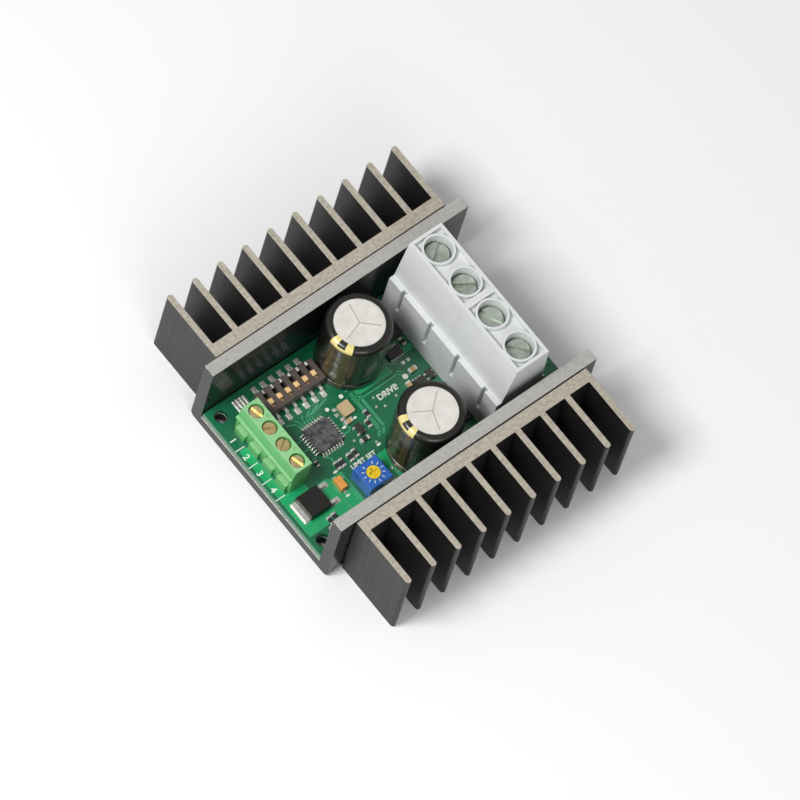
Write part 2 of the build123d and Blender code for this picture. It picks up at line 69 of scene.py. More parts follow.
# How the noises of a finish are read: octaves, and the range of values that is used
PATCH_DETAIL = 3.0
PATCH_RANGE = (0.35, 0.7)
# Noise on faces looking up or down: smudging on sawn metal, and painted-light mottle on the lit
# tops of the green plastic
SMUDGE_AND_LIGHT_DETAIL = 5.0
SMUDGE_AND_LIGHT_RANGE = (0.3, 0.62)
SMUDGE_AND_LIGHT_MM = (0.9, 0.9, 0.9)
GRAIN_DETAIL = 2.0
GRAIN_RANGE = (0.3, 0.7)
ROUGHNESS_SWING = 0.15
BUMP_STRENGTH = 0.6
EDGE_SAMPLES = 4
COAT_ROUGHNESS = 0.08
# Height of a unit normal above which a face counts as looking up or down
UPRIGHT_NORMAL = 0.9


class Grain(Enum):
    """Surface texture of a finish, as the size in mm of its pattern along X, Y and Z."""

    FINE = (0.25, 0.25, 0.25)
    MOULDED = (0.5, 0.5, 0.5)
    ALONG_X = (14.0, 0.12, 0.12)
    ALONG_Z = (0.14, 0.14, 9.0)


def linear(colour: str) -> tuple[float, float, float, float]:
    """Turns an sRGB hex colour into the linear values that shaders use.

    Args:
        colour: six hex digits, with or without a leading #.

    Returns:
        Linear red, green and blue, and an alpha of 1.
    """
    digits = colour.lstrip("#")
    channels = [int(digits[i : i + 2], 16) / 255 for i in (0, 2, 4)]
    red, green, blue = (
        c / 12.92 if c <= 0.04045 else ((c + 0.055) / 1.055) ** 2.4 for c in channels
    )
    return red, green, blue, 1.0


def switch_x(way: int) -> float:
    """Finds the middle of one way of the setting switch.

    Args:
        way: number of the way, from 0.

    Returns:
        Its x on the board, in mm.
    """
    return SWITCH_CENTRE[0] + SWITCH_PITCH * (way - (SWITCH_WAYS - 1) / 2)


def add_node(tree: bpy.types.NodeTree, kind: str, inputs: dict, **settings) -> bpy.types.Node:
    """Adds a shader node, linking inputs given as sockets and setting the others as values.

    Args:
        tree: the material's node tree.
        kind: the node's type name.
        inputs: input name or number to a socket or a value.
        **settings: attributes of the node, such as its operation.

    Returns:
        The new node.
    """
    node = tree.nodes.new(kind)
    for name, value in settings.items():
        setattr(node, name, value)
    for key, value in inputs.items():
        if isinstance(value, bpy.types.NodeSocket):
            tree.links.new(value, node.inputs[key])
        else:
            node.inputs[key].default_value = value
    return node


@dataclass(frozen=True)
class Finish:
    """A procedural finish.

    Attributes:
        name: the material's name, after the real stuff.
        colour: sRGB hex of the main colour.
        mottle: sRGB hex that the main colour drifts towards in patches.
        patch_mm: size of those patches.
        roughness: middle of the roughness range.
        metallic: 0 for plastics and laminate, 1 for bare metal.
        coat: weight of a clear glossy layer.
        grain: shape of the fine surface texture.
        bump_mm: height of that texture.
        edge_mm: radius that sharp edges appear rounded to.
        sawn_and_lit_top_colour: sRGB hex of faces that look up or down: bare sawn metal on the
            metal parts, and painted light on the green plastic, whose tops are painted lighter
            where the light falls; none if every face is alike.
        sawn_smudge_and_lit_mottle: sRGB hex of the smudging on sawn metal faces, and of the
            painted-light mottle on the lit green tops.
    """

    name: str
    colour: str
    mottle: str
    patch_mm: float = 3.0
    roughness: float = 0.45
    metallic: float = 0.0
    coat: float = 0.0
    grain: Grain = Grain.MOULDED
    bump_mm: float = 0.01
    edge_mm: float = 0.12
    sawn_and_lit_top_colour: str | None = None
    sawn_smudge_and_lit_mottle: str = "#5C554A"

    def pattern(
        self, tree: bpy.types.NodeTree, size_mm: tuple[float, float, float], detail: float
    ) -> bpy.types.NodeSocket:
        """Adds a noise in object space.

        Args:
            tree: the material's node tree.
            size_mm: pattern size along X, Y and Z.
            detail: octaves of the noise.

        Returns:
            The socket with the noise value.
        """
        place = add_node(tree, "ShaderNodeTexCoord", {})
        scale = tuple(1 / (MM * size) for size in size_mm)
        spread = add_node(
            tree, "ShaderNodeMapping", {"Vector": place.outputs["Object"], "Scale": scale}
        )
        noise = add_node(
            tree,
            "ShaderNodeTexNoise",
            {"Vector": spread.outputs[0], "Scale": 1.0, "Detail": detail},
        )
        return noise.outputs[0]

    def upward(self, tree: bpy.types.NodeTree) -> bpy.types.NodeSocket:
        """Adds a mask that is 1 on faces looking straight up or down.

        Args:
            tree: the material's node tree.

        Returns:
            The socket with the mask.
        """
        place = add_node(tree, "ShaderNodeTexCoord", {})
        split = add_node(tree, "ShaderNodeSeparateXYZ", {0: place.outputs["Normal"]})
        size = add_node(tree, "ShaderNodeMath", {0: split.outputs["Z"]}, operation="ABSOLUTE")
        return self.beyond(tree, size.outputs[0], UPRIGHT_NORMAL)

    def tint(self, tree: bpy.types.NodeTree) -> bpy.types.NodeSocket:
        """Adds the colour, before any marking.

        Args:
            tree: the material's node tree.

        Returns:
            The socket with the colour.
        """
        patches = self.pattern(tree, (self.patch_mm,) * 3, PATCH_DETAIL)
        sharp = self.ranged(tree, patches, PATCH_RANGE, (0.0, 1.0))
        base = self.mix(tree, sharp, linear(self.colour), linear(self.mottle))
        if self.sawn_and_lit_top_colour is None:
            return base
        # Faces looking up or down take their own colour: bare sawn metal with smudging on the metal
        # finishes, and painted light on the green plastic, whose tops are painted lighter where the
        # light falls
        smudge_and_light_patches = self.pattern(tree, SMUDGE_AND_LIGHT_MM, SMUDGE_AND_LIGHT_DETAIL)
        smudge_and_light_share = self.ranged(tree, smudge_and_light_patches, SMUDGE_AND_LIGHT_RANGE, (0.0, 1.0))
        sawn_and_lit_top = self.mix(tree, smudge_and_light_share, linear(self.sawn_smudge_and_lit_mottle), linear(self.sawn_and_lit_top_colour))
        return self.mix(tree, self.upward(tree), base, sawn_and_lit_top)

    @staticmethod
    def beyond(
        tree: bpy.types.NodeTree, value: bpy.types.NodeSocket, limit: float
    ) -> bpy.types.NodeSocket:
        """Adds a mask that is 1 where a value is above a limit.

        Args:
            tree: the material's node tree.
            value: the value's socket.
            limit: the limit.

        Returns:
            The socket with the mask.
        """
        inputs = {0: value, 1: limit}
        return add_node(tree, "ShaderNodeMath", inputs, operation="GREATER_THAN").outputs[0]

    @staticmethod
    def ranged(
        tree: bpy.types.NodeTree,
        value: bpy.types.NodeSocket,
        source: tuple[float, float],
        target: tuple[float, float],
    ) -> bpy.types.NodeSocket:
        """Stretches a range of values over another one, and clamps what is outside.

        Args:
            tree: the material's node tree.
            value: the value's socket.
            source: range of the value that is used.
            target: what the ends of that range become.

        Returns:
            The socket with the new value.
        """
        inputs = dict(enumerate((value, *source, *target)))
        return add_node(tree, "ShaderNodeMapRange", inputs).outputs[0]

    @staticmethod
    def mix(tree: bpy.types.NodeTree, factor, first, second) -> bpy.types.NodeSocket:
        """Mixes two colours.

        Args:
            tree: the material's node tree.
            factor: socket or value; 0 gives the first colour.
            first: socket or colour.
            second: socket or colour.

        Returns:
            The socket with the mixed colour.
        """
        node = add_node(tree, "ShaderNodeMix", {0: factor, 6: first, 7: second}, data_type="RGBA")
        return node.outputs[2]

    def marked(
        self, tree: bpy.types.NodeTree, colour: bpy.types.NodeSocket
    ) -> bpy.types.NodeSocket:
        """Adds markings over the colour; a plain finish has none.

        Args:
            tree: the material's node tree.
            colour: the colour socket so far.

        Returns:
            The colour socket to use.
        """
        return colour

    def build(self) -> bpy.types.Material:
        """Makes the material once and returns it.

        Returns:
            The material.
        """
        title = f"{self.name}_finish"
        made = bpy.data.materials.get(title)
        if made is not None:
            return made
        made = bpy.data.materials.new(title)
        made.use_nodes = True
        tree = made.node_tree
        shader = tree.nodes["Principled BSDF"]
        colour = self.marked(tree, self.tint(tree))
        tree.links.new(colour, shader.inputs["Base Color"])
        grain = self.pattern(tree, self.grain.value, GRAIN_DETAIL)
        smooth, coarse = (self.roughness * (1 + sign * ROUGHNESS_SWING) for sign in (-1, 1))
        rough = self.ranged(tree, grain, GRAIN_RANGE, (smooth, coarse))
        tree.links.new(rough, shader.inputs["Roughness"])
        radius = {"Radius": self.edge_mm * MM}
        edge = add_node(tree, "ShaderNodeBevel", radius, samples=EDGE_SAMPLES)
        relief = {
            "Height": grain,
            "Distance": self.bump_mm * MM,
            "Strength": BUMP_STRENGTH,
            "Normal": edge.outputs[0],
        }
        bump = add_node(tree, "ShaderNodeBump", relief)
        tree.links.new(bump.outputs[0], shader.inputs["Normal"])
        shader.inputs["Metallic"].default_value = self.metallic
        shader.inputs["Coat Weight"].default_value = self.coat
        shader.inputs["Coat Roughness"].default_value = COAT_ROUGHNESS
        return made


@dataclass(frozen=True)
class SleeveFinish(Finish):
    """Printed shrink sleeve: a gold band with dashes down one side of an upright cylinder.

    Attributes:
        centre: x and y of the cylinder's axis, in mm in the part's frame.
        band_turn: direction that the middle of the band faces, in degrees from -X.
        band_edge: angle from the far side at which the band starts, in degrees.
        dash_edge: the same for the dashes.
        dash_pitch_mm: distance from one dash to the next.
        dash_gap: share of that distance without a dash.
        rim_mm: height above which the band is painted light gold on the curled rim, a painted
            highlight.
        gold: sRGB hex of the band on the upright side, darkened as painted shade.
        highlight_gold: sRGB hex of the band on the rim, lightened as a painted highlight.
        dash_colour: sRGB hex of the dashes.
    """

    centre: tuple[float, float] = (0.0, 0.0)
    band_turn: float = 0.0
    band_edge: float = 158.0
    dash_edge: float = 172.0
    dash_pitch_mm: float = 4.5
    dash_gap: float = 0.45
    rim_mm: float = 23.6
    gold: str = "#4C4426"
    highlight_gold: str = "#E6D68C"
    dash_colour: str = "#2A2622"

    def marked(
        self, tree: bpy.types.NodeTree, colour: bpy.types.NodeSocket
    ) -> bpy.types.NodeSocket:
        """Adds the polarity band and its dashes, with painted light on the band: dark gold on the
            upright side as painted shade, and light gold on the rim as a painted highlight.

        Args:
            tree: the material's node tree.
            colour: the colour socket so far.

        Returns:
            The colour socket to use.
        """
        place = add_node(tree, "ShaderNodeTexCoord", {})
        turn = math.radians(-self.band_turn)
        shift = -(Matrix.Rotation(turn, 3, "Z") @ Vector((*self.centre, 0.0))) * MM
        centring = {"Vector": place.outputs["Object"], "Location": shift, "Rotation": (0, 0, turn)}
        moved = add_node(tree, "ShaderNodeMapping", centring)
        split = add_node(tree, "ShaderNodeSeparateXYZ", {0: moved.outputs[0]})
        across = {0: split.outputs["Y"], 1: split.outputs["X"]}
        angle = add_node(tree, "ShaderNodeMath", across, operation="ARCTAN2")
        turned = add_node(tree, "ShaderNodeMath", {0: angle.outputs[0]}, operation="ABSOLUTE")
        band = self.beyond(tree, turned.outputs[0], math.radians(self.band_edge))
        dash = self.beyond(tree, turned.outputs[0], math.radians(self.dash_edge))
        per_pitch = {0: split.outputs["Z"], 1: 1 / (self.dash_pitch_mm * MM)}
        height = add_node(tree, "ShaderNodeMath", per_pitch, operation="MULTIPLY")
        cycle = add_node(tree, "ShaderNodeMath", {0: height.outputs[0]}, operation="FRACT")
        gap = self.beyond(tree, cycle.outputs[0], self.dash_gap)
        both = add_node(tree, "ShaderNodeMath", {0: dash, 1: gap}, operation="MULTIPLY")
        # Painted highlight: above rim height the band turns light gold; below it stays dark gold as
        # painted shade
        rim = self.beyond(tree, split.outputs["Z"], self.rim_mm * MM)
        gold = self.mix(tree, rim, linear(self.gold), linear(self.highlight_gold))
        printed = self.mix(tree, both.outputs[0], gold, linear(self.dash_colour))
        return self.mix(tree, band, colour, printed)


# Dark anodised channel, with bright machined edges
CHANNEL_ANODISE = Finish(
    name="dark_anodised_channel", colour="#232627", mottle="#1C1F20", patch_mm=9.0,
    roughness=0.26, metallic=0.5, grain=Grain.ALONG_X, bump_mm=0.004, edge_mm=0.15,
    sawn_and_lit_top_colour="#D0CEC8", sawn_smudge_and_lit_mottle="#C2BFB8",
)
# Black anodised extrusion whose sawn fin ends show bare metal
ANODISED = Finish(
    name="black_anodised_aluminium", colour="#201F1E", mottle="#181817", patch_mm=6.0,
    roughness=0.45, metallic=0.2, grain=Grain.ALONG_Z, bump_mm=0.02, edge_mm=0.12,
    sawn_and_lit_top_colour="#C0B8A9", sawn_smudge_and_lit_mottle="#A39B8D",
)
# Glass-epoxy laminate under glossy solder mask
SOLDER_MASK = Finish(
    name="solder_mask_green", colour="#12704A", mottle="#0F6341", patch_mm=8.0, roughness=0.3,
    coat=0.35, grain=Grain.FINE, bump_mm=0.004, edge_mm=0.05,
)
# The same mask over a copper pour, which makes it brighter
MASK_ON_COPPER = Finish(
    name="solder_mask_over_copper", colour="#1CAC6A", mottle="#189D60", patch_mm=5.0,
    roughness=0.3, coat=0.35, grain=Grain.FINE, bump_mm=0.004, edge_mm=0.01,
)
# Mask over narrow tracks
MASK_ON_TRACK = Finish(
    name="solder_mask_over_track", colour="#4DB07C", mottle="#42A370", patch_mm=5.0,
    roughness=0.3, coat=0.3, grain=Grain.FINE, bump_mm=0.002, edge_mm=0.01,
)
# White printed legend
LEGEND = Finish(
    name="white_legend_ink", colour="#F0F1EA", mottle="#E2E6DC", patch_mm=1.0, roughness=0.55,
    grain=Grain.FINE, bump_mm=0.002, edge_mm=0.01,
)
# Soldered and tin-plated metal
TIN = Finish(
    name="tin_plate", colour="#E8E6DF", mottle="#CFCCC3", patch_mm=0.8, roughness=0.3,
    metallic=0.6, grain=Grain.FINE, bump_mm=0.01, edge_mm=0.05,
)
# Soldered copper pads
PAD = Finish(
    name="soldered_pad", colour="#E2E1D8", mottle="#CBC9BF", patch_mm=0.7, roughness=0.3,
    metallic=0.55, grain=Grain.FINE, bump_mm=0.02, edge_mm=0.02,
)
# Moulded package epoxy
EPOXY = Finish(
    name="black_package_epoxy", colour="#33312F", mottle="#3E3C39", patch_mm=1.2, roughness=0.5,
    grain=Grain.FINE, bump_mm=0.008, edge_mm=0.06,
)
# Blacker epoxy of the regulator
REGULATOR_EPOXY = Finish(
    name="regulator_epoxy", colour="#15130F", mottle="#1A1814", patch_mm=1.2, roughness=0.5,
    grain=Grain.FINE, bump_mm=0.008, edge_mm=0.06,
)
# Microcontroller epoxy with a whitish flux haze
HAZED_EPOXY = Finish(
    name="hazed_package_epoxy", colour="#353436", mottle="#6A686A", patch_mm=1.1, roughness=0.5,
    grain=Grain.FINE, bump_mm=0.008, edge_mm=0.06,
)
# Brown-grey moulded switch body
SWITCH_PLASTIC = Finish(
    name="brown_grey_plastic", colour="#5B514B", mottle="#544A45", patch_mm=2.0, roughness=0.45,
    coat=0.05, grain=Grain.FINE, bump_mm=0.006, edge_mm=0.06,
)
# Cream moulded sliders
SLIDER_PLASTIC = Finish(
    name="cream_plastic", colour="#F4CF98", mottle="#EBC285", patch_mm=1.0, roughness=0.5,
    grain=Grain.FINE, bump_mm=0.004, edge_mm=0.08,
)
# Green polyamide of the control terminal, as painted light: lighter green on faces looking up or
# down, where the light falls, and darker green on the sides, in shade
GREEN_PLASTIC = Finish(
    name="green_polyamide", colour="#5DAE66", mottle="#55A35E", patch_mm=4.0, roughness=0.42,
    coat=0.05, grain=Grain.FINE, bump_mm=0.006, edge_mm=0.15, sawn_and_lit_top_colour="#93CC90",
    sawn_smudge_and_lit_mottle="#8AC487",
)
# Light grey polyamide of the power terminal
GREY_PLASTIC = Finish(
    name="light_grey_polyamide", colour="#DADCDB", mottle="#D4D7D7", patch_mm=6.0,
    roughness=0.42, coat=0.05, grain=Grain.FINE, bump_mm=0.006, edge_mm=0.18,
)
# Yellow-chromated small screws
BRASS = Finish(
    name="brass_screw", colour="#E8D39A", mottle="#C9B078", patch_mm=0.9, roughness=0.32,
    metallic=0.75, grain=Grain.FINE, bump_mm=0.015, edge_mm=0.08,
)
# Zinc-plated power screws
ZINC = Finish(
    name="zinc_plate", colour="#CDD5CA", mottle="#AAB5A6", patch_mm=1.5, roughness=0.36,
    metallic=0.7, grain=Grain.FINE, bump_mm=0.015, edge_mm=0.12,
)
# Drawn aluminium can top
CAN = Finish(
    name="drawn_aluminium", colour="#F2F0E9", mottle="#E4E1D8", patch_mm=2.5, roughness=0.42,
    metallic=0.35, grain=Grain.FINE, bump_mm=0.006, edge_mm=0.1,
)
# Darker grey line of a pressed groove: painted shade, standing in for the shade inside the groove
GROOVE_SHADE = Finish(
    name="pressed_groove_painted_shade", colour="#C4C0B7", mottle="#B7B3AA", patch_mm=1.0, roughness=0.5,
    metallic=0.5, grain=Grain.FINE, bump_mm=0.002, edge_mm=0.01,
)
# Rubber, tape and pad
RUBBER = Finish(
    name="black_rubber", colour="#1B1B1B", mottle="#232323", patch_mm=1.0, roughness=0.7,
)
TAPE = Finish(
    name="thermal_tape", colour="#C9C6C0", mottle="#BDBAB4", patch_mm=2.0, roughness=0.6,
)
SILICONE_PAD = Finish(
    name="pink_silicone_pad", colour="#DDC6C4", mottle="#D3BAB8", patch_mm=3.0, roughness=0.7,
)
# Moulded tantalum, ceramic resonator, chips
ORANGE_EPOXY = Finish(
    name="orange_epoxy", colour="#F0A94E", mottle="#E39B42", patch_mm=1.0, roughness=0.4,
    coat=0.1, grain=Grain.FINE, bump_mm=0.006, edge_mm=0.1,
)
TAN_CERAMIC = Finish(
    name="tan_ceramic", colour="#CDB48C", mottle="#C2A87F", patch_mm=1.0, roughness=0.5,
    grain=Grain.FINE, bump_mm=0.008, edge_mm=0.08,
)
CHIP_CERAMIC = Finish(
    name="dark_chip_glaze", colour="#26282B", mottle="#303236", patch_mm=0.8, roughness=0.4,
    coat=0.1, grain=Grain.FINE, bump_mm=0.004, edge_mm=0.05,
)
CHIP_TAN = Finish(
    name="tan_chip_ceramic", colour="#C9A77C", mottle="#BC996F", patch_mm=0.8, roughness=0.5,
    grain=Grain.FINE, bump_mm=0.004, edge_mm=0.05,
)
# Trimmer body and rotor
TRIMMER_BLUE = Finish(
    name="blue_plastic", colour="#2F6CC6", mottle="#2A62B8", patch_mm=1.5, roughness=0.35,
    coat=0.15, grain=Grain.FINE, bump_mm=0.006, edge_mm=0.12,
)
ROTOR_YELLOW = Finish(
    name="yellow_plastic", colour="#F7DA2E", mottle="#EBCB22", patch_mm=1.0, roughness=0.4,
    coat=0.05, grain=Grain.FINE, bump_mm=0.004, edge_mm=0.08,
)
# Indicator lamp: cream phosphor under a clear lens
LAMP = Finish(
    name="lamp_cream", colour="#F4EDCB", mottle="#E9DFB2", patch_mm=0.6, roughness=0.3,
    coat=0.5, grain=Grain.FINE, bump_mm=0.002, edge_mm=0.1,
)
# Matt white floor
WHITE_FLOOR = Finish(
    name="white_floor", colour="#F7F7F7", mottle="#F5F5F5", patch_mm=400, roughness=0.8,
    grain=Grain.MOULDED, bump_mm=0,
)
# Printed shrink sleeves of the two capacitors
SLEEVE_A = SleeveFinish(
    name="printed_sleeve_a", colour="#1D1A17", mottle="#161412", patch_mm=4.0, roughness=0.3,
    coat=0.3, grain=Grain.FINE, bump_mm=0.003, edge_mm=0.05, centre=(-1.5, 13.6),
    band_turn=18.0,
)
SLEEVE_B = SleeveFinish(
    name="printed_sleeve_b", colour="#1D1A17", mottle="#161412", patch_mm=4.0, roughness=0.3,
    coat=0.3, grain=Grain.FINE, bump_mm=0.003, edge_mm=0.05, centre=(-1.5, -13.6),
    band_turn=-4.0,
)

# Finish of each CAD node, by the start of its name; the longest match wins
FINISHES = {
    "chassis_channel": CHANNEL_ANODISE,
    "heatsink_tape": TAPE,
    "heatsink": ANODISED,
    "board_thermal_pad": SILICONE_PAD,
    "circuit_board": SOLDER_MASK,
    "tinned_pads": TIN,
    "microcontroller_body": HAZED_EPOXY,
    "microcontroller_leads": TIN,
    "dip_switch_housing": SWITCH_PLASTIC,
    "dip_switch_leads": TIN,
    "dip_slider": SLIDER_PLASTIC,
    "control_housing": GREEN_PLASTIC,
    "power_housing": GREY_PLASTIC,
    "control_screw": BRASS,
    "power_screw": ZINC,
    "control_cage": TIN,
    "power_cage": TIN,
    "control_contacts": TIN,
    "power_contacts": TIN,
    "capacitor_bungs": RUBBER,
    "capacitor_leads": TIN,
    "regulator_body": REGULATOR_EPOXY,
    "regulator_leads": TIN,
    "tantalum_capacitor": ORANGE_EPOXY,
    "resonator": TAN_CERAMIC,
    "trimpot_housing": TRIMMER_BLUE,
    "trimpot_rotor": ROTOR_YELLOW,
    "trimpot_pins": TIN,
    "indicator_leds": LAMP,
    "chip_resistors": CHIP_CERAMIC,
    "chip_capacitors": CHIP_TAN,
    "small_package_bodies": EPOXY,
    "small_package_leads": TIN,
    "power_transistors": EPOXY,
    "capacitor_a_can": CAN,
    "capacitor_b_can": CAN,
    "capacitor_a_sleeve": SLEEVE_A,
    "capacitor_b_sleeve": SLEEVE_B,
}


def place(x: float, y: float, z: float) -> tuple[float, float, float]:
    """Turns board coordinates into scene coordinates.

    Args:
        x: mm from the control end of the channel.
        y: mm across, from the middle line.
        z: mm above the board.

    Returns:
        The point in metres in the part's frame.
    """
    return (x + FRONT_X) * MM, y * MM, (z + BOARD_TOP) * MM


@dataclass
class Piece:
    """A visual piece gathered from simple solids, joined with its mesh in place."""

    name: str
    finish: Finish
    body: str = BOARD_BODY
    parts: list = field(default_factory=list)
    bevel_segments: int = 3
    ink_thickness: float = 0.02
    stroke_growth: float = 0.05
    curve_steps: int = 3

    def cuboid(
        self,
        centre: tuple[float, float],
        size: tuple[float, float],
        levels: tuple[float, float],
        turn: float = 0.0,
        bevel: float = 0.0,
    ) -> None:
        """Adds a box on the board.

        Args:
            centre: x and y in mm.
            size: length and width in mm.
            levels: bottom and top, in mm above the board.
            turn: rotation about the vertical, in degrees.
            bevel: edge radius in mm.
        """
        low, high = levels
        bpy.ops.mesh.primitive_cube_add(
            size=1,
            location=place(*centre, (low + high) / 2),
            rotation=(0, 0, math.radians(turn)),
        )
        made = bpy.context.object
        made.scale = (size[0] * MM, size[1] * MM, (high - low) * MM)
        bpy.ops.object.transform_apply(location=False, rotation=False, scale=True)
        if bevel > 0:
            rounding = made.modifiers.new("round", "BEVEL")
            rounding.width = bevel * MM
            rounding.segments = self.bevel_segments
            bpy.ops.object.modifier_apply(modifier=rounding.name)
        self.parts.append(made)

    def disc(
        self,
        centre: tuple[float, float],
        radius: float,
        levels: tuple[float, float],
        stretch: tuple[float, float] = (1.0, 1.0),
        sides: int = 32,
    ) -> None:
        """Adds an upright round or oval disc on the board.

        Args:
            centre: x and y in mm.
            radius: radius in mm.
            levels: bottom and top, in mm above the board.
            stretch: scale along x and y.
            sides: facets round the rim.
        """
        low, high = levels
        bpy.ops.mesh.primitive_cylinder_add(
            vertices=sides,
            radius=radius * MM,
            depth=(high - low) * MM,
            location=place(*centre, (low + high) / 2),
        )
        made = bpy.context.object
        made.scale = (*stretch, 1)
        self.parts.append(made)

    def path(
        self, points: list[tuple[float, float]], width: float, levels: tuple[float, float]
    ) -> None:
        """Adds a track through a list of points.

        Args:
            points: corners of the track, x and y in mm.
            width: track width in mm.
            levels: bottom and top, in mm above the board.
        """
        for (x0, y0), (x1, y1) in zip(points, points[1:]):
            length = math.hypot(x1 - x0, y1 - y0)
            turn = math.degrees(math.atan2(y1 - y0, x1 - x0))
            self.cuboid(((x0 + x1) / 2, (y0 + y1) / 2), (length + width, width), levels, turn)

    def text(
        self, words: str, centre: tuple[float, float], size: float, turn: float, level: float
    ) -> None:
        """Adds raised printed characters.

        Args:
            words: what to print.
            centre: x and y in mm.
            size: character size in mm.
            turn: reading direction, in degrees from +X.
            level: mm above the board.
        """
        bpy.ops.object.text_add(
            location=place(*centre, level), rotation=(0, 0, math.radians(turn))
        )
        made = bpy.context.object
        made.data.body = words
        made.data.size = size * MM
        made.data.align_x = "CENTER"
        made.data.align_y = "CENTER"
        made.data.extrude = self.ink_thickness * MM
        made.data.offset = self.stroke_growth * MM
        made.data.resolution_u = self.curve_steps
        bpy.ops.object.convert(target="MESH")
        self.parts.append(bpy.context.object)

    def finish_piece(self) -> bpy.types.Object:
        """Joins the solids, applies the transforms and finish, and ties the piece to its body.

        Returns:
            The finished object.
        """
        bpy.ops.object.select_all(action="DESELECT")
        for part in self.parts:
            part.select_set(True)
        joined = self.parts[0]
        bpy.context.view_layer.objects.active = joined
        if len(self.parts) > 1:
            bpy.ops.object.join()
        bpy.ops.object.transform_apply(location=True, rotation=True, scale=True)
        joined.name = self.name
        joined.data.name = self.name
        joined.data.materials.clear()
        joined.data.materials.append(self.finish.build())
        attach(joined, self.body)
        return joined


@dataclass
class Dressing:
    """Puts finishes on the nodes of the CAD frame."""

    frame: dict

    @staticmethod
    def finish_for(node: str) -> Finish:
        """Finds the finish with the longest name that the node's name starts with.

        Args:
            node: name of a CAD node.

        Returns:
            Its finish.
        """
        keys = [key for key in FINISHES if node.startswith(key)]
        return FINISHES[max(keys, key=len)]

    def dress(self) -> None:
        """Gives every CAD node its finish, through the object's own material slots."""
        for name, item in self.frame["nodes"].items():
            material = self.finish_for(name).build()
            for slot in item.material_slots:
                slot.link = "OBJECT"
                slot.material = material


